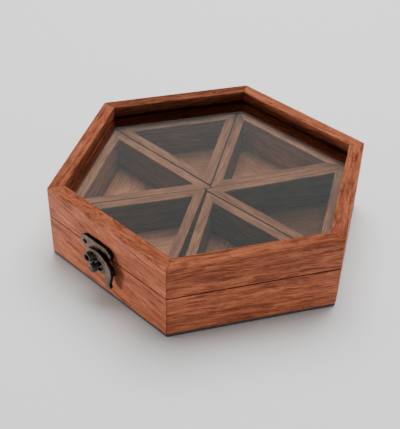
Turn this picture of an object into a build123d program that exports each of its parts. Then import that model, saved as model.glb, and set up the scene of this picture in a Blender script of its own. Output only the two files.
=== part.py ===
from build123d import *
from collections import namedtuple
import math
import os

# Hexagonal hardwood spice box: six mitred base walls on a thin bottom panel, a hinged lid of six
# mitred rails around a glass pane, six loose triangular trays and an antique swing-hook latch.
# Frame: +Z up, origin at the centre of the underside. The latch side faces -Y, the hinges +Y.

# Box, mm
CORNER_R = 102.0                # centre to an outer corner, 8 in across corners
BOX_H = 50.0
WALL_T = 9.2
PANEL_T = 2.4
PANEL_INSET = 0.3
SEAM_Z = 29.4                   # where lid and base part
SEAM_GAP = 0.5
CORNER_ROUND = 1.8              # sanded vertical corners
TOP_ROUND = 1.3                 # sanded outer edge on top of the lid
MITRE_GAP = 0.02                # glue line, each side
CUT_PAST = 2.0                  # how far a cutting shape reaches past the material
COS30 = math.cos(math.radians(30))
APOTHEM = CORNER_R * COS30
INNER_APOTHEM = APOTHEM - WALL_T
BASE_TOP = SEAM_Z - SEAM_GAP / 2
LID_BOTTOM = SEAM_Z + SEAM_GAP / 2

# Lid glass
GLASS_T = 3.0
GLASS_TOP = 42.2
GROOVE_DEPTH = 4.0
GROOVE_H = 4.0                  # the glass lies low in it, with a slot left above
GLASS_CLEAR = 0.1

# Trays
TRAY_TOP = 31.5
TRAY_BOTTOM = PANEL_T + 0.3
TRAY_APOTHEM = 78.8             # outer face of every tray's rim wall
TRAY_WALL_T = 5.7
TRAY_TIP_ROUND = 1.0
TRAY_FLOOR_TOP = 8.4
TRAY_FLOOR_T = 3.0

# The trays lie loose in the box, so each line between two of them has drifted from its corner:
# turn is its angle off the corner's direction and splay how far each side of its gap opens, in
# degrees; shift is its sideways place at the middle of the box and half_gap half its gap there.
TrayLine = namedtuple("TrayLine", "turn shift half_gap splay")
TRAY_LINES = {
    0: TrayLine(turn=2.6, shift=-5.7, half_gap=0.6, splay=0),
    60: TrayLine(turn=2.0, shift=-1.8, half_gap=0.15, splay=0),
    120: TrayLine(turn=1.6, shift=0.7, half_gap=0.5, splay=0),
    180: TrayLine(turn=0, shift=0.2, half_gap=0.65, splay=0),
    240: TrayLine(turn=-1.3, shift=1.4, half_gap=0.15, splay=0.25),
    300: TrayLine(turn=1.6, shift=-2.3, half_gap=0.75, splay=1.0),
}

# Hinges
PIN_Y = APOTHEM - 1.0
PIN_R = 1.0
PIN_CLEAR = 0.05
KNUCKLE_R = 2.0
KNUCKLE_CLEAR = 0.3
HINGE_L = 25.0
HINGE_X = 28.0
LEAF_T = 1.0
LEAF_DEPTH = 7.5                # pin to the leaf's front edge
LEAF_CLEAR = 0.1
STOP_ANGLE = 55.0               # half of the lid's swing, on each side of the seam
STOP_SET_BACK = 0.15
HINGE_SCREW_R = 0.9
HINGE_SCREW_HEAD_R = 1.6
HINGE_SCREW_HEAD_T = 0.7
HINGE_SCREW_L = 8.0
HINGE_SCREW_PITCH = 16.0
HINGE_SCREW_Y = PIN_Y - 4.9
SCREW_CLEAR = 0.02
SLOT_W = 0.4
SLOT_DEPTH = 0.3

# Latch, on the latch face: x along the face, z up, offsets outwards from the wood
PLATE_T = 2.4
PLATE_X = -4.9                  # middle of the lid plate
PLATE_HALF = 13.2
PLATE_TOP_HALF = 8.9
PLATE_TOP_Z = 37.8
PLATE_LOW_Z = 30.2
EAR_Z = 33.0
EAR_R = 4.2
EAR_SHOULDER = (0.3, 1.4)       # where the slanted edge meets the ear: in from its side, above it
PIVOT = (-5.6, 29.1)
PIVOT_LOBE_R = 3.1
OVERHANG_RELIEF = 0.4
BOSS_R = 3.2
BOSS_OFF = 2.6
RIVET_R = 1.5
RIVET_CAP_R = 3.0
RIVET_CAP_OFF = 6.0
RIVET_END_OFF = 8.5
RIVET_END_ROUND = 0.4
RIVET_HOLLOW_R = 2.0
RIVET_HOLLOW_DEPTH = 2.0
HOOK_BACK_OFF = 2.9
HOOK_FRONT_OFF = 5.1
HOOK_HUB_R = 4.6
NOTCH = (-0.1, 25.2)
NOTCH_R = 4.2
POST = (-1.0, 24.3)
POST_R = 1.5
POST_ROOT = 6.0
POST_CAP_R = 2.8
POST_CAP_OFF = 7.2
POST_END_OFF = 9.8
POST_DOME = 1.2
CATCH_HALF = 10.2
CATCH_LOW_Z = 17.4
CATCH_EAR_Z = 21.0
CATCH_EAR_R = 3.6
CATCH_RISE = 2.0                # top of the plate above the middle of its ears
CATCH_LOBE_R = 3.1
LATCH_SCREW_R = 1.0
LATCH_SCREW_HEAD_R = 1.6
LATCH_SCREW_HEAD_OFF = 1.5      # screw heads sit below the plate's face
LATCH_SCREW_HEAD_T = 1.0
LATCH_SCREW_L = 7.0

SIDES = {
    "front": 270, "front_right": 330, "back_right": 30,
    "back": 90, "back_left": 150, "front_left": 210,
}
BACK_SIDES = ("back", "back_left", "back_right")

os.makedirs("parts", exist_ok=True)


def write(part, name):
    """Label a finished piece and write it to its own file."""
    part.label = name
    export_step(part, f"parts/{name}.step")


def side_plane(angle, z):
    """Horizontal plane at height z whose x axis points out through the side facing angle."""
    a = math.radians(angle)
    return Plane(origin=(0, 0, z), x_dir=(math.cos(a), math.sin(a), 0), z_dir=(0, 0, 1))


def face_plane(offset):
    """Plane in front of the latch face: local x is +X, local y is +Z, outwards is -Y."""
    return Plane(origin=(0, -APOTHEM - offset, 0), x_dir=(1, 0, 0), z_dir=(0, -1, 0))


def pin_plane(x):
    """Plane across the hinge pins: local x is +Y, local y is +Z."""
    return Plane(origin=(x, 0, 0), x_dir=(0, 1, 0), z_dir=(1, 0, 0))


def mitred(inner, outer):
    """Corners of a side's trapezoid between two apothems, cut back by the glue line."""
    slope = math.tan(math.radians(30))
    cut = MITRE_GAP / COS30
    low = inner * slope - cut
    high = outer * slope - cut
    return [(inner, -low), (outer, -high), (outer, high), (inner, low)]


def leaf_centre_y():
    return PIN_Y - LEAF_DEPTH / 2


def cut_hinge_seats(z_leaf, into_wood):
    """Cut both hinges' leaf pockets, barrel reliefs and screw holes; into_wood is +1 or -1."""
    for x in (-HINGE_X, HINGE_X):
        with BuildSketch(Plane.XY.offset(z_leaf)) as profile:
            with Locations((x, leaf_centre_y())):
                Rectangle(HINGE_L + 2 * LEAF_CLEAR, LEAF_DEPTH + 2 * LEAF_CLEAR)
        extrude(profile.sketch, amount=into_wood * LEAF_T, mode=Mode.SUBTRACT)
        with BuildSketch(pin_plane(x - HINGE_L / 2 - KNUCKLE_CLEAR)) as profile:
            with Locations((PIN_Y, SEAM_Z)):
                Circle(KNUCKLE_R + KNUCKLE_CLEAR)
        extrude(profile.sketch, amount=HINGE_L + 2 * KNUCKLE_CLEAR, mode=Mode.SUBTRACT)
        with BuildSketch(Plane.XY.offset(z_leaf)) as profile:
            with Locations((x, HINGE_SCREW_Y)):
                with GridLocations(HINGE_SCREW_PITCH, 1, 2, 1):
                    Circle(HINGE_SCREW_R + SCREW_CLEAR)
        extrude(profile.sketch, amount=into_wood * (HINGE_SCREW_L + SCREW_CLEAR), mode=Mode.SUBTRACT)


def cut_stop_groove():
    """Cut the V along the back of the seam, whose faces meet when the lid is fully open."""
    apex = PIN_Y - STOP_SET_BACK
    reach = APOTHEM + CUT_PAST
    rise = (reach - apex) * math.tan(math.radians(STOP_ANGLE))
    with BuildSketch(pin_plane(-CORNER_R)) as profile:
        with BuildLine():
            Polyline((apex, SEAM_Z), (reach, SEAM_Z - rise), (reach, SEAM_Z + rise), close=True)
        make_face()
    extrude(profile.sketch, amount=2 * CORNER_R, mode=Mode.SUBTRACT)


def drill_face(points, radius, depth):
    """Drill round holes into the wood from the latch face."""
    with BuildSketch(face_plane(0)) as profile:
        with Locations(*points):
            Circle(radius)
    extrude(profile.sketch, amount=-depth, mode=Mode.SUBTRACT)


def hex_side(angle, z_low, z_high):
    """Block out one mitred side of the hexagon with its share of the rounded corners."""
    with BuildSketch(side_plane(angle, z_low)) as profile:
        RegularPolygon(CORNER_R, 6, rotation=30)
        fillet(vertices(), CORNER_ROUND)
        with BuildLine():
            Polyline(*mitred(INNER_APOTHEM, APOTHEM + CUT_PAST), close=True)
        make_face(mode=Mode.INTERSECT)
    extrude(profile.sketch, amount=z_high - z_low)


plate_screw_x = PLATE_HALF - EAR_R
catch_screw_x = CATCH_HALF - CATCH_EAR_R
plate_screws = [(PLATE_X - plate_screw_x, EAR_Z), (PLATE_X + plate_screw_x, EAR_Z)]
catch_screws = [(POST[0] - catch_screw_x, CATCH_EAR_Z), (POST[0] + catch_screw_x, CATCH_EAR_Z)]
screw_in_wood = LATCH_SCREW_L - LATCH_SCREW_HEAD_OFF

# ------------------------------------------------------------------ base
with BuildPart() as base_panel:
    with BuildSketch():
        RegularPolygon(CORNER_R - PANEL_INSET / COS30, 6)
        fillet(vertices(), CORNER_ROUND)
    extrude(amount=PANEL_T)
write(base_panel.part, "base_panel")

for side, angle in SIDES.items():
    with BuildPart() as base_wall:
        hex_side(angle, PANEL_T, BASE_TOP)
        if side in BACK_SIDES:
            cut_stop_groove()
        if side == "back":
            cut_hinge_seats(BASE_TOP, -1)
        if side == "front":
            drill_face(catch_screws, LATCH_SCREW_R + SCREW_CLEAR, screw_in_wood + SCREW_CLEAR)
            drill_face([POST], POST_R + SCREW_CLEAR, POST_ROOT + SCREW_CLEAR)
    write(base_wall.part, f"base_wall_{side}")

# ------------------------------------------------------------------- lid
for side, angle in SIDES.items():
    with BuildPart() as lid_rail:
        hex_side(angle, LID_BOTTOM, BOX_H)
        outwards = side_plane(angle, BOX_H).x_dir
        top_edges = lid_rail.faces().sort_by(Axis.Z)[-1].edges()
        rim_edges = top_edges.filter_by(lambda e: (e @ 0.5).dot(outwards) > APOTHEM - CORNER_ROUND)
        fillet(rim_edges, TOP_ROUND)
        with BuildSketch(side_plane(angle, GLASS_TOP - GLASS_T - GLASS_CLEAR)):
            with BuildLine():
                Polyline(*mitred(INNER_APOTHEM - CUT_PAST, INNER_APOTHEM + GROOVE_DEPTH), close=True)
            make_face()
        extrude(amount=GROOVE_H, mode=Mode.SUBTRACT)
        if side in BACK_SIDES:
            cut_stop_groove()
        if side == "back":
            cut_hinge_seats(LID_BOTTOM, 1)
        if side == "front":
            drill_face(plate_screws, LATCH_SCREW_R + SCREW_CLEAR, screw_in_wood + SCREW_CLEAR)
    write(lid_rail.part, f"lid_rail_{side}")

with BuildPart() as lid_glass:
    with BuildSketch(Plane.XY.offset(GLASS_TOP - GLASS_T)):
        RegularPolygon((INNER_APOTHEM + GROOVE_DEPTH - 2 * GLASS_CLEAR) / COS30, 6)
    extrude(amount=GLASS_T)
write(lid_glass.part, "lid_glass")


# ----------------------------------------------------------------- trays
def meet(p, u, q, v):
    """Point where the line through p along u crosses the line through q along v."""
    across = u.X * v.Y - u.Y * v.X
    along = ((q - p).X * v.Y - (q - p).Y * v.X) / across
    return p + u * along


def tray_side(angle, hand):
    """Point and direction of the tray side beside a line: hand is +1 anticlockwise of it, or -1."""
    line = TRAY_LINES[angle % 360]
    along = Vector(1, 0).rotate(Axis.Z, angle + line.turn)
    point = along.rotate(Axis.Z, 90) * (line.shift + hand * line.half_gap)
    return point, along.rotate(Axis.Z, hand * line.splay)


def tray_outline(facing):
    """Outer corners of a tray: the inner tip, then the rim's two ends, anticlockwise."""
    start_side = tray_side(facing - 30, 1)
    end_side = tray_side(facing + 30, -1)
    out = Vector(1, 0).rotate(Axis.Z, facing)
    rim_side = (out * TRAY_APOTHEM, out.rotate(Axis.Z, 90))
    return [
        meet(*end_side, *start_side),
        meet(*start_side, *rim_side),
        meet(*rim_side, *end_side),
    ]


def inset(corners, distance):
    """Corners of the triangle that lies a distance inside the given one."""
    sides = []
    for here, there in zip(corners, corners[1:] + corners[:1]):
        along = (there - here).normalized()
        sides.append((here + along.rotate(Axis.Z, 90) * distance, along))
    return [meet(*sides[i - 1], *sides[i]) for i in range(len(sides))]


for side, angle in SIDES.items():
    outer = tray_outline(angle)
    inner = inset(outer, TRAY_WALL_T)
    for i, wall in enumerate(("side_a", "rim", "side_b")):
        j = (i + 1) % 3
        with BuildPart() as tray_wall:
            with BuildSketch(Plane.XY.offset(TRAY_BOTTOM)):
                with BuildLine():
                    Polyline(*outer, close=True)
                make_face()
                fillet(vertices(), TRAY_TIP_ROUND)
                RegularPolygon(TRAY_APOTHEM / COS30, 6, mode=Mode.INTERSECT)
                with BuildLine():
                    Polyline(outer[i], outer[j], inner[j], inner[i], close=True)
                make_face(mode=Mode.INTERSECT)
            extrude(amount=TRAY_TOP - TRAY_BOTTOM)
        write(tray_wall.part, f"tray_{side}_{wall}")
    with BuildPart() as tray_floor:
        with BuildSketch(Plane.XY.offset(TRAY_FLOOR_TOP - TRAY_FLOOR_T)):
            with BuildLine():
                Polyline(*inner, close=True)
            make_face()
        extrude(amount=TRAY_FLOOR_T)
    write(tray_floor.part, f"tray_{side}_floor")


# ---------------------------------------------------------------- hinges
def hinge_leaf(x, z_leaf, into_wood, knuckles):
    """Build one leaf with its knuckles; each knuckle is its start along the pin and its length."""
    with BuildSketch(Plane.XY.offset(z_leaf)) as profile:
        with Locations((x, leaf_centre_y())):
            Rectangle(HINGE_L, LEAF_DEPTH)
    extrude(profile.sketch, amount=into_wood * LEAF_T)
    with BuildSketch(pin_plane(x - HINGE_L / 2)) as profile:
        with Locations((PIN_Y, SEAM_Z)):
            Circle(KNUCKLE_R + KNUCKLE_CLEAR)
    extrude(profile.sketch, amount=HINGE_L, mode=Mode.SUBTRACT)
    neck = KNUCKLE_R + 2 * KNUCKLE_CLEAR
    for start, length in knuckles:
        with BuildSketch(pin_plane(x + start)) as profile:
            with Locations((PIN_Y, SEAM_Z)):
                Circle(KNUCKLE_R)
            with Locations((PIN_Y - neck / 2, z_leaf + into_wood * LEAF_T / 2)):
                Rectangle(neck, LEAF_T)
        extrude(profile.sketch, amount=length)
    with BuildSketch(pin_plane(x - HINGE_L / 2)) as profile:
        with Locations((PIN_Y, SEAM_Z)):
            Circle(PIN_R + PIN_CLEAR)
    extrude(profile.sketch, amount=HINGE_L, mode=Mode.SUBTRACT)
    with Locations(Plane(origin=(x, HINGE_SCREW_Y, z_leaf), z_dir=(0, 0, -into_wood))):
        with GridLocations(HINGE_SCREW_PITCH, 1, 2, 1):
            Cone(
                HINGE_SCREW_R + SCREW_CLEAR,
                HINGE_SCREW_HEAD_R + SCREW_CLEAR,
                HINGE_SCREW_HEAD_T,
                align=(Align.CENTER, Align.CENTER, Align.MAX),
                mode=Mode.SUBTRACT,
            )
            Hole(HINGE_SCREW_R + SCREW_CLEAR, depth=LEAF_T)


def hinge_screws(z_leaf, into_wood):
    """Build the four countersunk screws of both hinges that hold one kind of leaf."""
    for x in (-HINGE_X, HINGE_X):
        with Locations(Plane(origin=(x, HINGE_SCREW_Y, z_leaf), z_dir=(0, 0, -into_wood))):
            with GridLocations(HINGE_SCREW_PITCH, 1, 2, 1):
                top = (Align.CENTER, Align.CENTER, Align.MAX)
                Cone(HINGE_SCREW_R, HINGE_SCREW_HEAD_R, HINGE_SCREW_HEAD_T, align=top)
                Cylinder(HINGE_SCREW_R, HINGE_SCREW_L, align=top)
                Box(
                    2 * HINGE_SCREW_HEAD_R + CUT_PAST, SLOT_W, SLOT_DEPTH,
                    align=top, mode=Mode.SUBTRACT,
                )


third = HINGE_L / 3
base_knuckles = [
    (-HINGE_L / 2, third - KNUCKLE_CLEAR / 2),
    (HINGE_L / 2 - third + KNUCKLE_CLEAR / 2, third - KNUCKLE_CLEAR / 2),
]
lid_knuckles = [(-third / 2 + KNUCKLE_CLEAR / 2, third - KNUCKLE_CLEAR)]

for hand, x in (("left", -HINGE_X), ("right", HINGE_X)):
    with BuildPart() as base_leaf:
        hinge_leaf(x, BASE_TOP, -1, base_knuckles)
    write(base_leaf.part, f"hinge_{hand}_base_leaf")
    with BuildPart() as lid_leaf:
        hinge_leaf(x, LID_BOTTOM, 1, lid_knuckles)
    write(lid_leaf.part, f"hinge_{hand}_lid_leaf")
    with BuildPart() as hinge_pin:
        with BuildSketch(pin_plane(x - HINGE_L / 2)):
            with Locations((PIN_Y, SEAM_Z)):
                Circle(PIN_R)
        extrude(amount=HINGE_L)
    write(hinge_pin.part, f"hinge_{hand}_pin")

with BuildPart() as hinge_screws_base:
    hinge_screws(BASE_TOP, -1)
write(hinge_screws_base.part, "hinge_screws_base")

with BuildPart() as hinge_screws_lid:
    hinge_screws(LID_BOTTOM, 1)
write(hinge_screws_lid.part, "hinge_screws_lid")


# ----------------------------------------------------------------- latch
def seat_screws(points):
    """Cut a stepped hole through the plate in progress for each screw."""
    with Locations(face_plane(PLATE_T)):
        with Locations(*points):
            CounterBoreHole(
                LATCH_SCREW_R + SCREW_CLEAR,
                LATCH_SCREW_HEAD_R + SCREW_CLEAR,
                PLATE_T - LATCH_SCREW_HEAD_OFF + LATCH_SCREW_HEAD_T,
                depth=PLATE_T,
            )


def face_screws(points):
    """Build slotted screws driven straight into the latch face."""
    with Locations(face_plane(LATCH_SCREW_HEAD_OFF)):
        with Locations(*points):
            top = (Align.CENTER, Align.CENTER, Align.MAX)
            Cylinder(LATCH_SCREW_HEAD_R, LATCH_SCREW_HEAD_T, align=top)
            Cylinder(LATCH_SCREW_R, LATCH_SCREW_L, align=top)
            slot_length = 2 * LATCH_SCREW_HEAD_R + CUT_PAST
            Box(SLOT_W, slot_length, SLOT_DEPTH, align=top, mode=Mode.SUBTRACT)


with BuildPart() as latch_plate:
    shoulder_x = PLATE_HALF - EAR_SHOULDER[0]
    shoulder_z = EAR_Z + EAR_SHOULDER[1]
    with BuildSketch(face_plane(0)):
        with BuildLine():
            Polyline(
                (PLATE_X - PLATE_TOP_HALF, PLATE_TOP_Z),
                (PLATE_X + PLATE_TOP_HALF, PLATE_TOP_Z),
                (PLATE_X + shoulder_x, shoulder_z),
                (PLATE_X + plate_screw_x, PLATE_LOW_Z),
                (PLATE_X - plate_screw_x, PLATE_LOW_Z),
                (PLATE_X - shoulder_x, shoulder_z),
                close=True,
            )
        make_face()
        with Locations(*plate_screws):
            Circle(EAR_R)
        with Locations(PIVOT):
            Circle(PIVOT_LOBE_R)
    extrude(amount=PLATE_T)
    with BuildSketch(face_plane(PLATE_T)):
        with Locations(PIVOT):
            Circle(BOSS_R)
    extrude(amount=BOSS_OFF - PLATE_T)
    with BuildSketch(face_plane(0)):
        with Locations((PLATE_X, LID_BOTTOM)):
            Rectangle(3 * PLATE_HALF, PLATE_TOP_Z, align=(Align.CENTER, Align.MAX))
    extrude(amount=OVERHANG_RELIEF, mode=Mode.SUBTRACT)
    with BuildSketch(face_plane(0)):
        with Locations(PIVOT):
            Circle(RIVET_R + SCREW_CLEAR)
    extrude(amount=BOSS_OFF, mode=Mode.SUBTRACT)
    seat_screws(plate_screws)
write(latch_plate.part, "latch_plate")

with BuildPart() as latch_plate_screws:
    face_screws(plate_screws)
write(latch_plate_screws.part, "latch_plate_screws")

with BuildPart() as latch_rivet:
    with BuildSketch(face_plane(OVERHANG_RELIEF)):
        with Locations(PIVOT):
            Circle(RIVET_R)
    extrude(amount=RIVET_CAP_OFF - OVERHANG_RELIEF)
    with BuildSketch(face_plane(RIVET_CAP_OFF)):
        with Locations(PIVOT):
            Circle(RIVET_CAP_R)
    extrude(amount=RIVET_END_OFF - RIVET_CAP_OFF)
    rivet_end = latch_rivet.faces().sort_by(Axis.Y)[0]
    fillet(rivet_end.edges(), RIVET_END_ROUND)
    with BuildSketch(face_plane(RIVET_END_OFF)):
        with Locations(PIVOT):
            Circle(RIVET_HOLLOW_R)
    extrude(amount=-RIVET_HOLLOW_DEPTH, mode=Mode.SUBTRACT)
write(latch_rivet.part, "latch_rivet")

with BuildPart() as latch_hook:
    with BuildSketch(face_plane(HOOK_BACK_OFF)):
        with BuildLine():
            hub_top = (PIVOT[0], PIVOT[1] + HOOK_HUB_R)
            Line(PIVOT, hub_top)
            shoulder = Line(hub_top, (-1.5, 34.4))
            crest = ThreePointArc(shoulder @ 1, (7.6, 30.7), (11.1, 23.5))
            waist = ThreePointArc(crest @ 1, (10.2, 19.0), (9.2, 15.4))
            tip = ThreePointArc(waist @ 1, (9.3, 14.2), (10.0, 13.0))
            toe = ThreePointArc(tip @ 1, (7.6, 11.6), (5.6, 13.0))
            heel = Line(toe @ 1, (5.2, 15.4))
            barb = Polyline(heel @ 1, (4.2, 16.4), (5.3, 17.8), (5.8, 21.2))
            lip = ThreePointArc(barb @ 1, (2.5, 19.6), (-1.1, 19.3))
            mouth = Line(lip @ 1, (-0.9, 20.4))
            Line(mouth @ 1, PIVOT)
        make_face()
        with Locations(PIVOT):
            Circle(HOOK_HUB_R)
        with Locations(NOTCH):
            Circle(NOTCH_R, mode=Mode.SUBTRACT)
        with Locations(PIVOT):
            Circle(RIVET_R + PIN_CLEAR, mode=Mode.SUBTRACT)
    extrude(amount=HOOK_FRONT_OFF - HOOK_BACK_OFF)
write(latch_hook.part, "latch_hook")

with BuildPart() as catch_plate:
    with BuildSketch(face_plane(0)):
        with Locations((POST[0], CATCH_LOW_Z)):
            catch_h = CATCH_EAR_Z + CATCH_RISE - CATCH_LOW_Z
            Rectangle(2 * catch_screw_x, catch_h, align=(Align.CENTER, Align.MIN))
        with Locations(*catch_screws):
            Circle(CATCH_EAR_R)
        with Locations(POST):
            Circle(CATCH_LOBE_R)
    extrude(amount=PLATE_T)
    with BuildSketch(face_plane(0)):
        with Locations(POST):
            Circle(POST_R + SCREW_CLEAR)
    extrude(amount=PLATE_T, mode=Mode.SUBTRACT)
    seat_screws(catch_screws)
write(catch_plate.part, "catch_plate")

with BuildPart() as catch_post:
    with BuildSketch(face_plane(-POST_ROOT)):
        with Locations(POST):
            Circle(POST_R)
    extrude(amount=POST_CAP_OFF + POST_ROOT)
    with BuildSketch(face_plane(POST_CAP_OFF)):
        with Locations(POST):
            Circle(POST_CAP_R)
    extrude(amount=POST_END_OFF - POST_CAP_OFF)
    post_end = catch_post.faces().sort_by(Axis.Y)[0]
    fillet(post_end.edges(), POST_DOME)
write(catch_post.part, "catch_post")

with BuildPart() as catch_plate_screws:
    face_screws(catch_screws)
write(catch_plate_screws.part, "catch_plate_screws")
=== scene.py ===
import math

import bpy
from mathutils import Matrix, Vector


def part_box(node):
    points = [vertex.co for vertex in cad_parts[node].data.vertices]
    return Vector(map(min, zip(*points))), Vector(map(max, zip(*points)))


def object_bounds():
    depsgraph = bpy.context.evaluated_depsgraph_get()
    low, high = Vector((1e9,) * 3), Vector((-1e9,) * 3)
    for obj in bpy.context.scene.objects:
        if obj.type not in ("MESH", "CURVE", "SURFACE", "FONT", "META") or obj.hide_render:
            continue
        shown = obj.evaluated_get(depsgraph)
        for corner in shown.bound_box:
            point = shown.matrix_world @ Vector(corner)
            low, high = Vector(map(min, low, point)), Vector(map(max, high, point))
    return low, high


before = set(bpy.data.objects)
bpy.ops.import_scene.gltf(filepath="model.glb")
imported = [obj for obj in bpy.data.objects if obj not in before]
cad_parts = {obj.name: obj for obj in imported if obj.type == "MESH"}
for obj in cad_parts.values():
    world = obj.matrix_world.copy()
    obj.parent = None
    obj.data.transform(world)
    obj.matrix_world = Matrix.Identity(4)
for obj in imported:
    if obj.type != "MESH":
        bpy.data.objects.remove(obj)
cad_low, cad_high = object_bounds()

# Each side of the hexagon, and the way it looks in degrees from +X.
SIDES = {
    "front": 270, "front_right": 330, "back_right": 30,
    "back": 90, "back_left": 150, "front_left": 210,
}
# The walls of each tray, and their turn from the way of its rim.
TRAY_TURNS = {"side_a": -120, "rim": 0, "side_b": 120}

SEAM_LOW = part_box("base_wall_front")[1].z
SEAM_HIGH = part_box("lid_rail_front")[0].z
TRAY_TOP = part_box("tray_front_rim")[1].z

# ------------------------------------------------------------------- wood values
# One unit of each part of the figure, in metres along the board, through it and up it.
WANDER_UNIT = (0.040, 0.012, 0.012)
JITTER_UNIT = (0.07, 0.005, 0.005)
BAND_UNIT = (0.10, 0.0050, 0.0042)
STREAK_UNIT = (0.022, 0.0016, 0.0014)
FIBRE_UNIT = (0.011, 0.00038, 0.00034)
FLECK_UNIT = (0.0042, 0.00024, 0.00022)
CLOUD_UNIT = (0.022, 0.009, 0.008)
BOARD_UNIT = (0.03, 0.0006, 0.0006)
# How far the grain is pushed, in metres out through the face, along the board and up it.
WANDER_REACH = (0.005, 0.0, 0.005)
# The growth rings' pith before the seed's shift, their pitch, unevenness and thinness of line.
PITH = (-0.045, 0.0, -0.07)
RING_PITCH = 0.0048
RING_JITTER = 11.0
RING_SHARPNESS = 6.0
# Each part of the figure sets in between these noise values.
CLOUD_RANGE = (0.32, 0.68)
BAND_RANGE = (0.47, 0.68)
STREAK_RANGE = (0.46, 0.64)
FIBRE_RANGE = (0.42, 0.66)
PORE_RANGE = (0.60, 0.70)
# How far each part of the figure goes to the dark colour at most.
RING_DEPTH = 0.6
STREAK_DEPTH = 0.85
FIBRE_DEPTH = 0.55
PORE_DEPTH = 0.6
# The relief's parts, as shares of the bump's distance.
FIBRE_RISE = 0.4
PORE_DROP = 0.6
LATE_WOOD_DROP = 0.25
# The wood's roughness between its fibres and on them, and what its pores add.
WOOD_ROUGHNESS = (0.52, 0.70)
PORE_ROUGHNESS = 0.2
WOOD_SHINE = 0.1
BOARD_ROUGHNESS = (0.55, 0.75)
# How far a board's seed moves its grain, in metres.
SEED_SHIFT = (0.31, 0.57, 0.43)
# The seeds of the case's sides and of the trays, and the steps that set their pieces apart.
CASE_FIRST_SEED = 1
LID_SEED_STEP = 0.37
TRAY_FIRST_SEED = 11
TRAY_SEED_STEP = 1.7
DEGREES_PER_SEED = 97

CASE_LIGHT = (0.42, 0.127, 0.060, 1)
CASE_MID = (0.31, 0.089, 0.042, 1)
CASE_DARK = (0.085, 0.018, 0.008, 1)
TRAY_LIGHT = (0.39, 0.158, 0.090, 1)
TRAY_MID = (0.28, 0.110, 0.060, 1)
TRAY_DARK = (0.095, 0.038, 0.024, 1)
TRAY_FLOOR_DARK = (0.15, 0.060, 0.034, 1)
BOARD_DARK = (0.007, 0.003, 0.002, 1)
BOARD_LIGHT = (0.035, 0.014, 0.009, 1)
# Wood under painted shade, and along the dark mitre lines, is multiplied by this.
PAINTED_SHADE_AND_JOINT_TINT = (0.45, 0.36, 0.33, 1)

# The grain's slope in degrees on the case's sides, and how strong the bands and rings are.
USUAL_SLOPE = 3
CASE_SLOPES = {"front": 9, "front_right": 1.5}
USUAL_FIGURE = 0.5
CASE_FIGURES = {"front": 0.3, "front_right": 0.6}
FLOOR_FIGURE = 0.2
# Case boards that are lighter or darker than the rest; the back rail's extra lightness is painted light,
# lifting its inner face above the glass.
CASE_TONES = {"lid_rail_back_left": 0.62, "lid_rail_back": 1.15, "lid_rail_front_right": 0.9}
# Each tray's floor: its grain's turn from the rim in degrees, and how light it is, which is painted light
# above 1 and painted shade below 1, for how each floor is lit.
TRAY_FLOORS = {
    "front": (60, 1.3), "front_right": (60, 1.0), "back_right": (-60, 0.33),
    "back": (0, 1.15), "back_left": (0, 0.88), "front_left": (0, 1.35),
}
# Tray walls unlike the rest: how light each is, which is painted light for how it is lit, and how far its
# painted shade below its top goes.
USUAL_WALL = (1.0, 0.8)
TRAY_WALLS = {
    "tray_back_rim": (2.4, 0.0), "tray_back_left_rim": (1.5, 0.3),
    "tray_front_left_side_a": (1.2, 0.1), "tray_front_left_rim": (1.4, 0.1),
}
# Painted shade on a tray's wall sets in between these depths below its top.
PAINTED_SHADE_DEPTHS = (0.0012, 0.0004)
# The seam's shadow reaches past the seam, then fades.
SEAM_SHADOW_REACH = 0.0001
SEAM_SHADOW_FADE = 0.0002
# The fine line along the mitres ends between these distances.
MITRE_LINE = (0.00008, 0.00028)
MITRE_DARKENING = 0.9
MITRE_ANGLE = math.radians(30)

# ------------------------------------------------------------------- edge values
WELD_DISTANCE = 0.000002
SHARP_ANGLE = math.radians(40)
CASE_EDGE = 0.00015
TRAY_EDGE = 0.0003
BOARD_EDGE = 0.0003
LATCH_EDGE = 0.00035

# ------------------------------------------------------- glass and metal values
GLASS_TINT = (0.93, 0.97, 0.95, 1)
GLASS_SHADOW_TINT = (0.93, 0.95, 0.94, 1)
GLASS_IOR = 1.52
SMEAR_SCALE = 60.0
SMEAR_ROUGHNESS = 0.03
# Noise units to the metre in the metals' wear and in their patina.
WEAR_SCALE = 520.0
CRUST_SCALE = 420.0
BRONZE_ROUGHNESS = (0.38, 0.62)
# The patina sets in between these noise values, and hides this much of the metal at most.
PATINA_RANGE = (0.62, 0.75)
PATINA_DEPTH = 0.7
RUBBED = (0.15, 0.100, 0.068, 1)
RECESS = (0.008, 0.006, 0.005, 1)
VERDIGRIS = (0.06, 0.085, 0.07, 1)
GREEN_RUBBED = (0.020, 0.022, 0.018, 1)
GREEN_RECESS = (0.008, 0.009, 0.008, 1)
# Near-black bronze: the screws' dark heads, partly painted shade, and on the catch plate painted shade
# standing in for the shadow behind the hook.
BLACK_AND_SHADE_RUBBED = (0.018, 0.020, 0.020, 1)
BLACK_AND_SHADE_RECESS = (0.005, 0.005, 0.005, 1)
BRASS_RUBBED = (0.42, 0.29, 0.14, 1)
BRASS_RECESS = (0.30, 0.20, 0.10, 1)
BRASS_TARNISH = (0.20, 0.16, 0.08, 1)

# --------------------------------------------------------------- studio values
FLOOR_HALF = 6.0
FLOOR_COLOUR = (0.86, 0.86, 0.86, 1)
ROOM_COLOUR = (0.93, 1.0, 0.97, 1)
BACKDROP_DIRECTION = (-0.69, 0.72, 0.0)
BACKDROP = 0.55
FRONT_ROOM = 0.15
CAMERA_PLACE = Vector((0.29104, -0.31725, 0.35077))
CAMERA_LOOKS = Vector((-0.53918, 0.56946, -0.62048))
CAMERA_ROLL = math.radians(1.594)
CAMERA_LENS = 71.43
CAMERA_SENSOR = 36.0
# What the lamps look at.
BOX_CENTRE = (0, 0, 0.03)
BOX_FRONT = (0, -0.05, 0.03)
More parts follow.
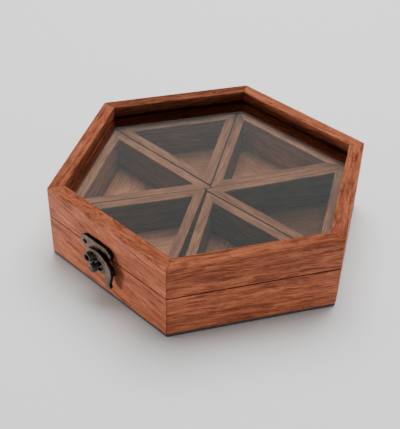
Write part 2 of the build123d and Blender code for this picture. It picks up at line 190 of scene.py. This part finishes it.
# Each lamp's place, what it looks at, its size in metres and its watts.
LAMPS = {
    "overhead": ((-0.25, 0.45, 1.25), BOX_CENTRE, (1.1, 1.1), 32),
    "key": ((-0.85, -0.85, 0.05), BOX_FRONT, (0.34, 0.09), 20),
    "fill": ((1.15, -0.2, 0.05), BOX_FRONT, (0.5, 0.09), 8.5),
}


# ------------------------------------------------------------------ node helpers
def add(tree, kind, inputs=None, **settings):
    """Add a shader node. An input's value is a number, a colour or another node's output."""
    node = tree.nodes.new("ShaderNode" + kind)
    for name, value in settings.items():
        setattr(node, name, value)
    for name, value in (inputs or {}).items():
        put(tree, node.inputs[name], value)
    return node


def put(tree, socket, value):
    """Link a socket to another node's output, or set its own value."""
    if isinstance(value, bpy.types.NodeSocket):
        tree.links.new(value, socket)
    else:
        socket.default_value = value


def maths(tree, operation, *values):
    """One Math node's output."""
    return add(tree, "Math", dict(enumerate(values)), operation=operation).outputs[0]


def vector_maths(tree, operation, *vectors):
    """One Vector Math node."""
    return add(tree, "VectorMath", dict(enumerate(vectors)), operation=operation)


def blend(tree, factor, a, b, mode="MIX"):
    """Mix two colours."""
    node = add(tree, "Mix", data_type="RGBA", blend_type=mode)
    colours = [socket for socket in node.inputs if socket.type == "RGBA"]
    for socket, value in zip([node.inputs[0]] + colours, (factor, a, b)):
        put(tree, socket, value)
    return [socket for socket in node.outputs if socket.type == "RGBA"][0]


def spread(tree, value, low, high, to_low=0.0, to_high=1.0):
    """Stretch a value's range, clamped and eased at both ends."""
    inputs = {"Value": value, "From Min": low, "From Max": high, "To Min": to_low, "To Max": to_high}
    return add(tree, "MapRange", inputs, interpolation_type="SMOOTHSTEP").outputs[0]


def noise(tree, vector, scale, detail, roughness):
    """A noise texture node."""
    inputs = {"Vector": vector, "Scale": scale, "Detail": detail, "Roughness": roughness}
    return add(tree, "TexNoise", inputs)


def figure_noise(tree, place, unit, detail, roughness):
    """Noise whose unit is given in metres along the board, through it and up it."""
    along, through, up = unit
    scaled_place = vector_maths(tree, "MULTIPLY", place, (1 / through, 1 / along, 1 / up))
    return noise(tree, scaled_place.outputs[0], 1.0, detail, roughness)


def new_material(name):
    """An empty node material."""
    material = bpy.data.materials.new(name)
    material.use_nodes = True
    tree = material.node_tree
    tree.nodes.clear()
    return material, tree


def show(tree, shader):
    """Make a shader the material's surface."""
    add(tree, "OutputMaterial", {"Surface": shader.outputs[0]})


# ----------------------------------------------------------------------- sheesham
def wandering(tree, board):
    """Board coordinates pushed slowly sideways."""
    wander = figure_noise(tree, board, WANDER_UNIT, 2.0, 0.5).outputs["Color"]
    centred = vector_maths(tree, "SUBTRACT", wander, (0.5, 0.5, 0.5)).outputs[0]
    pushed = vector_maths(tree, "MULTIPLY", centred, WANDER_REACH).outputs[0]
    return vector_maths(tree, "ADD", board, pushed).outputs[0]


def late_wood_lines(tree, grain):
    """Dark lines of growth rings round a pith far from the board."""
    radial = vector_maths(tree, "MULTIPLY", grain, (1.0, 0.0, 1.0)).outputs[0]
    from_pith = vector_maths(tree, "SUBTRACT", radial, PITH).outputs[0]
    distance = vector_maths(tree, "LENGTH", from_pith).outputs["Value"]
    even_phase = maths(tree, "MULTIPLY", distance, 2 * math.pi / RING_PITCH)
    jitter = figure_noise(tree, grain, JITTER_UNIT, 3.0, 0.5).outputs["Fac"]
    phase = maths(tree, "ADD", even_phase, maths(tree, "MULTIPLY", jitter, RING_JITTER))
    rings = maths(tree, "MULTIPLY_ADD", maths(tree, "SINE", phase), 0.5, 0.5)
    return maths(tree, "POWER", rings, RING_SHARPNESS)


def figured_tone(tree, given, grain, late_wood, fibres, pores):
    """The wood's colour: a cloudy ground under bands, rings, streaks, fibres and pores."""
    figure = given["Figure"]
    cloud = figure_noise(tree, given["Board"], CLOUD_UNIT, 3.0, 0.6).outputs["Fac"]
    bands = figure_noise(tree, grain, BAND_UNIT, 4.0, 0.65).outputs["Fac"]
    streaks = figure_noise(tree, grain, STREAK_UNIT, 5.0, 0.75).outputs["Fac"]
    tone = blend(tree, spread(tree, cloud, *CLOUD_RANGE), given["Mid"], given["Light"])
    for darkness in (
        maths(tree, "MULTIPLY", spread(tree, bands, *BAND_RANGE), figure),
        maths(tree, "MULTIPLY", late_wood, maths(tree, "MULTIPLY", figure, RING_DEPTH)),
        spread(tree, streaks, *STREAK_RANGE, 0.0, STREAK_DEPTH),
        spread(tree, fibres, *FIBRE_RANGE, 0.0, FIBRE_DEPTH),
        maths(tree, "MULTIPLY", pores, PORE_DEPTH),
    ):
        tone = blend(tree, darkness, tone, given["Dark"])
    return tone


def surface_height(tree, fibres, pores, late_wood):
    """The wood's relief: fibres stand up, pores and late wood lie lower."""
    pore_drop = maths(tree, "MULTIPLY", pores, PORE_DROP)
    late_wood_drop = maths(tree, "MULTIPLY", late_wood, LATE_WOOD_DROP)
    rise = maths(tree, "MULTIPLY", fibres, FIBRE_RISE)
    return maths(tree, "SUBTRACT", rise, maths(tree, "ADD", pore_drop, late_wood_drop))


def sheesham_group():
    """Figured rosewood on board coordinates: x out through the board's face, y along it, z up."""
    tree = bpy.data.node_groups.new("sheesham", "ShaderNodeTree")
    for name, kind in (
        ("Board", "Vector"), ("Light", "Color"), ("Mid", "Color"), ("Dark", "Color"), ("Figure", "Float"),
    ):
        tree.interface.new_socket(name, in_out="INPUT", socket_type="NodeSocket" + kind)
    for name, kind in (("Colour", "Color"), ("Roughness", "Float"), ("Height", "Float")):
        tree.interface.new_socket(name, in_out="OUTPUT", socket_type="NodeSocket" + kind)
    given = tree.nodes.new("NodeGroupInput").outputs
    grain = wandering(tree, given["Board"])
    late_wood = late_wood_lines(tree, grain)
    fibres = figure_noise(tree, grain, FIBRE_UNIT, 3.0, 0.7).outputs["Fac"]
    flecks = figure_noise(tree, given["Board"], FLECK_UNIT, 1.0, 0.5).outputs["Fac"]
    pores = spread(tree, flecks, *PORE_RANGE)
    tone = figured_tone(tree, given, grain, late_wood, fibres, pores)
    polish = spread(tree, fibres, 0.3, 0.8, *WOOD_ROUGHNESS)
    roughness = maths(tree, "ADD", polish, maths(tree, "MULTIPLY", pores, PORE_ROUGHNESS))
    out = tree.nodes.new("NodeGroupOutput")
    tree.links.new(tone, out.inputs["Colour"])
    tree.links.new(roughness, out.inputs["Roughness"])
    tree.links.new(surface_height(tree, fibres, pores, late_wood), out.inputs["Height"])
    return tree


SHEESHAM = sheesham_group()


def wood(name, facing, seed, colours, figure, slope=0.0, shade=None):
    """Sheesham for a board whose face looks along facing degrees. Slope tips its grain.

    The colours are light, mid and dark. shade(tree, board place) gives how far painted shade, and on the
    case the dark mitre lines, darken them.
    """
    material, tree = new_material(name)
    place = add(tree, "TexCoord").outputs["Object"]
    turned = add(tree, "VectorRotate", {"Vector": place, "Angle": math.radians(-facing)},
                 rotation_type="Z_AXIS").outputs[0]
    tipped = add(tree, "VectorRotate", {"Vector": turned, "Angle": slope},
                 rotation_type="X_AXIS").outputs[0]
    shift = tuple(step * seed for step in SEED_SHIFT)
    grain = tree.nodes.new("ShaderNodeGroup")
    grain.node_tree = SHEESHAM
    put(tree, grain.inputs["Board"], vector_maths(tree, "ADD", tipped, shift).outputs[0])
    for socket, colour in zip(("Light", "Mid", "Dark"), colours):
        put(tree, grain.inputs[socket], colour)
    put(tree, grain.inputs["Figure"], figure)
    colour = grain.outputs["Colour"]
    if shade:
        colour = blend(tree, shade(tree, turned), colour, PAINTED_SHADE_AND_JOINT_TINT, "MULTIPLY")
    bump = add(tree, "Bump", {
        "Height": grain.outputs["Height"], "Strength": 0.35, "Distance": 0.00025,
    })
    show(tree, add(tree, "BsdfPrincipled", {
        "Base Color": colour, "Roughness": grain.outputs["Roughness"],
        "Normal": bump.outputs[0], "Specular IOR Level": WOOD_SHINE,
    }))
    return material


def painted_seam_shadow_and_mitre_line(tree, board):
    """Shadow in the seam between the base and the lid, and a fine line along the mitres."""
    place = add(tree, "SeparateXYZ", {0: board}).outputs
    # The seam's shadow is painted shade, darkest at the seam and fading past it.
    off_seam = maths(tree, "SUBTRACT", place["Z"], (SEAM_LOW + SEAM_HIGH) / 2)
    edge = (SEAM_HIGH - SEAM_LOW) / 2 + SEAM_SHADOW_REACH
    seam = spread(tree, maths(tree, "ABSOLUTE", off_seam), edge, edge + SEAM_SHADOW_FADE, 1.0, 0.0)
    along = maths(tree, "MULTIPLY", maths(tree, "ABSOLUTE", place["Y"]), math.cos(MITRE_ANGLE))
    outward = maths(tree, "MULTIPLY", place["X"], math.sin(MITRE_ANGLE))
    off_mitre = maths(tree, "SUBTRACT", outward, along)
    mitre = spread(tree, off_mitre, *MITRE_LINE, MITRE_DARKENING, 0.0)
    return maths(tree, "MAXIMUM", seam, mitre)


def painted_tray_wall_shade(darkening):
    """A tray wall's painted shade: it is darker below its top."""
    low, high = (TRAY_TOP - depth for depth in PAINTED_SHADE_DEPTHS)

    def shade(tree, board):
        height = add(tree, "SeparateXYZ", {0: board}).outputs["Z"]
        return spread(tree, height, low, high, darkening, 0.0)
    return shade


def toned(colours, tone):
    """Colours made lighter or darker."""
    return [tuple(channel * tone for channel in colour[:3]) + (1,) for colour in colours]


# ---------------------------------------------------------------- dressing nodes
def dress(node, material):
    """Give a CAD node its material."""
    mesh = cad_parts[node].data
    mesh.materials.clear()
    mesh.materials.append(material)


def soften(node, width):
    """Join a CAD node's faces at their edges, then break the sharp ones."""
    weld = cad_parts[node].modifiers.new("joined faces", "WELD")
    weld.merge_threshold = WELD_DISTANCE
    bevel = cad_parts[node].modifiers.new("broken edges", "BEVEL")
    bevel.width = width
    bevel.segments = 2
    bevel.limit_method = "ANGLE"
    bevel.angle_limit = SHARP_ANGLE
    bevel.harden_normals = True


def dress_case_side(order, side, facing):
    """The base wall and the lid rail of one side."""
    slope = math.radians(CASE_SLOPES.get(side, USUAL_SLOPE))
    figure = CASE_FIGURES.get(side, USUAL_FIGURE)
    for level, node in enumerate((f"base_wall_{side}", f"lid_rail_{side}")):
        colours = toned((CASE_LIGHT, CASE_MID, CASE_DARK), CASE_TONES.get(node, 1.0))
        seed = CASE_FIRST_SEED + order + LID_SEED_STEP * level
        dress(node, wood(node, facing, seed, colours, figure, slope, painted_seam_shadow_and_mitre_line))
        soften(node, CASE_EDGE)


def tray_seed(order, turn):
    """A seed of its own for each piece of each tray."""
    return TRAY_FIRST_SEED + order * TRAY_SEED_STEP + turn / DEGREES_PER_SEED


def dress_tray(order, side, facing):
    """The three walls and the floor of one tray."""
    for piece, turn in TRAY_TURNS.items():
        node = f"tray_{side}_{piece}"
        tone, darkening = TRAY_WALLS.get(node, USUAL_WALL)
        colours = toned((TRAY_LIGHT, TRAY_MID, TRAY_DARK), tone)
        seed = tray_seed(order, turn)
        shade = painted_tray_wall_shade(darkening)
        dress(node, wood(node, facing + turn, seed, colours, USUAL_FIGURE, shade=shade))
        soften(node, TRAY_EDGE)
    node = f"tray_{side}_floor"
    turn, tone = TRAY_FLOORS[side]
    colours = toned((TRAY_LIGHT, TRAY_MID, TRAY_FLOOR_DARK), tone)
    dress(node, wood(node, facing + turn, tray_seed(order, turn), colours, FLOOR_FIGURE))
    soften(node, TRAY_EDGE)


# ------------------------------------------------------------------ bottom board
def board_material():
    """Wood coloured nearly black."""
    material, tree = new_material("near-black board")
    place = add(tree, "TexCoord").outputs["Object"]
    fibre = figure_noise(tree, place, BOARD_UNIT, 3.0, 0.6).outputs["Fac"]
    bump = add(tree, "Bump", {"Height": fibre, "Strength": 0.3, "Distance": 0.0002})
    show(tree, add(tree, "BsdfPrincipled", {
        "Base Color": blend(tree, fibre, BOARD_DARK, BOARD_LIGHT),
        "Roughness": spread(tree, fibre, 0.2, 0.8, *BOARD_ROUGHNESS), "Normal": bump.outputs[0],
    }))
    return material


# ------------------------------------------------------------------------- glass
def glass_material():
    """Clear float glass that lets lamps through to what it covers."""
    material, tree = new_material("float glass")
    place = add(tree, "TexCoord").outputs["Object"]
    smears = noise(tree, place, SMEAR_SCALE, 3.0, 0.6).outputs["Fac"]
    pane = add(tree, "BsdfPrincipled", {
        "Base Color": GLASS_TINT, "IOR": GLASS_IOR, "Transmission Weight": 1.0,
        "Roughness": spread(tree, smears, 0.55, 0.9, 0.0, SMEAR_ROUGHNESS),
    })
    open_way = add(tree, "BsdfTransparent", {"Color": GLASS_SHADOW_TINT})
    shadow = add(tree, "LightPath").outputs["Is Shadow Ray"]
    show(tree, add(tree, "MixShader", {0: shadow, 1: pane.outputs[0], 2: open_way.outputs[0]}))
    return material


# ------------------------------------------------------------------------ metals
def bronze(name, rubbed, recess, patina, patina_amount, metal=0.85):
    """Antique bronze: dark all over, rubbed bright on the faces that look out, with a patina."""
    material, tree = new_material(name)
    coords = add(tree, "TexCoord").outputs
    place = coords["Object"]
    outward = vector_maths(tree, "DOT_PRODUCT", coords["Normal"], (0.0, -1.0, 0.0)).outputs["Value"]
    wear = noise(tree, place, WEAR_SCALE, 5.0, 0.7).outputs["Fac"]
    rubbing = spread(tree, wear, 0.32, 0.60, 0.3, 1.0)
    face = maths(tree, "MULTIPLY", spread(tree, outward, 0.35, 0.95), rubbing)
    crust = noise(tree, place, CRUST_SCALE, 3.0, 0.6).outputs["Fac"]
    patch = spread(tree, crust, *(level - patina_amount for level in PATINA_RANGE))
    metal_colour = blend(tree, face, recess, rubbed)
    bump = add(tree, "Bump", {"Height": wear, "Strength": 0.4, "Distance": 0.00012})
    show(tree, add(tree, "BsdfPrincipled", {
        "Base Color": blend(tree, maths(tree, "MULTIPLY", patch, PATINA_DEPTH), metal_colour, patina),
        "Metallic": metal, "Roughness": spread(tree, wear, 0.2, 0.8, *BRONZE_ROUGHNESS),
        "Normal": bump.outputs[0],
    }))
    return material


def dress_metals():
    """The latch, the catch and the hinges."""
    latch_bronze = bronze("antique bronze", RUBBED, RECESS, VERDIGRIS, 0.0)
    cap_bronze = bronze("green bronze", GREEN_RUBBED, GREEN_RECESS, VERDIGRIS, 0.05, 0.4)
    # On the catch plate this near-black is painted shade behind the hook.
    black_and_shade_bronze = bronze("blackened bronze", BLACK_AND_SHADE_RUBBED, BLACK_AND_SHADE_RECESS, VERDIGRIS, -0.1, 0.3)
    hinge_brass = bronze("aged brass", BRASS_RUBBED, BRASS_RECESS, BRASS_TARNISH, 0.0)
    finishes = {
        "latch_plate": latch_bronze, "latch_hook": latch_bronze, "catch_plate": black_and_shade_bronze,
        "latch_rivet": cap_bronze, "catch_post": cap_bronze,
        "latch_plate_screws": black_and_shade_bronze, "catch_plate_screws": black_and_shade_bronze,
    }
    for node, finish in finishes.items():
        dress(node, finish)
    for node in ("latch_plate", "latch_hook", "catch_plate"):
        soften(node, LATCH_EDGE)
    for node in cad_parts:
        if node.startswith("hinge"):
            dress(node, hinge_brass)


# ---------------------------------------------------------------------- the set
def area_light(name, place, aim, size, power):
    """A rectangular lamp that isn't seen through the glass."""
    lamp = bpy.data.lights.new(name, "AREA")
    lamp.shape = "RECTANGLE"
    lamp.size, lamp.size_y = size
    lamp.energy = power
    holder = bpy.data.objects.new(name, lamp)
    bpy.context.collection.objects.link(holder)
    holder.location = place
    holder.rotation_euler = (Vector(aim) - Vector(place)).to_track_quat("-Z", "Y").to_euler()
    holder.visible_transmission = False
    # The overhead lamp would show as a bright patch on the pane.
    holder.visible_glossy = name != "overhead"


def make_floor():
    """A plain pale floor under the box."""
    mesh = bpy.data.meshes.new("floor")
    corners = [(x * FLOOR_HALF, y * FLOOR_HALF, 0) for x, y in ((-1, -1), (1, -1), (1, 1), (-1, 1))]
    mesh.from_pydata(corners, [], [(0, 1, 2, 3)])
    floor = bpy.data.objects.new("floor", mesh)
    bpy.context.collection.objects.link(floor)
    floor.location.z = cad_low.z
    material, tree = new_material("pale floor")
    show(tree, add(tree, "BsdfPrincipled", {"Base Color": FLOOR_COLOUR, "Roughness": 0.9}))
    mesh.materials.append(material)


def make_world():
    """A dim room with a pale backdrop that the glass reflects."""
    world = bpy.data.worlds.new("studio")
    world.use_nodes = True
    tree = world.node_tree
    tree.nodes.clear()
    look = add(tree, "TexCoord").outputs["Generated"]
    behind = vector_maths(tree, "DOT_PRODUCT", look, BACKDROP_DIRECTION).outputs["Value"]
    strength = spread(tree, behind, -0.3, 0.5, FRONT_ROOM, BACKDROP)
    sky = add(tree, "Background", {"Color": ROOM_COLOUR, "Strength": strength})
    add(tree, "OutputWorld", {"Surface": sky.outputs[0]})
    bpy.context.scene.world = world


def make_camera():
    """Camera at the photo's angle, level but for a slight roll."""
    data = bpy.data.cameras.new("camera")
    data.lens = CAMERA_LENS
    data.sensor_width = CAMERA_SENSOR
    camera = bpy.data.objects.new("camera", data)
    bpy.context.collection.objects.link(camera)
    ahead = CAMERA_LOOKS.normalized()
    level = ahead.cross(Vector((0, 0, 1))).normalized()
    upright = level.cross(ahead)
    right = level * math.cos(CAMERA_ROLL) + upright * math.sin(CAMERA_ROLL)
    turn = Matrix((right, right.cross(ahead), -ahead)).transposed()
    camera.matrix_world = Matrix.Translation(CAMERA_PLACE) @ turn.to_4x4()
    data.clip_start, data.clip_end = 0.01, 20
    bpy.context.scene.camera = camera


for order, (side, facing) in enumerate(SIDES.items()):
    dress_case_side(order, side, facing)
    dress_tray(order, side, facing)
dress("base_panel", board_material())
soften("base_panel", BOARD_EDGE)
dress("lid_glass", glass_material())
dress_metals()

make_floor()
make_world()
make_camera()
for name, settings in LAMPS.items():
    area_light(name, *settings)
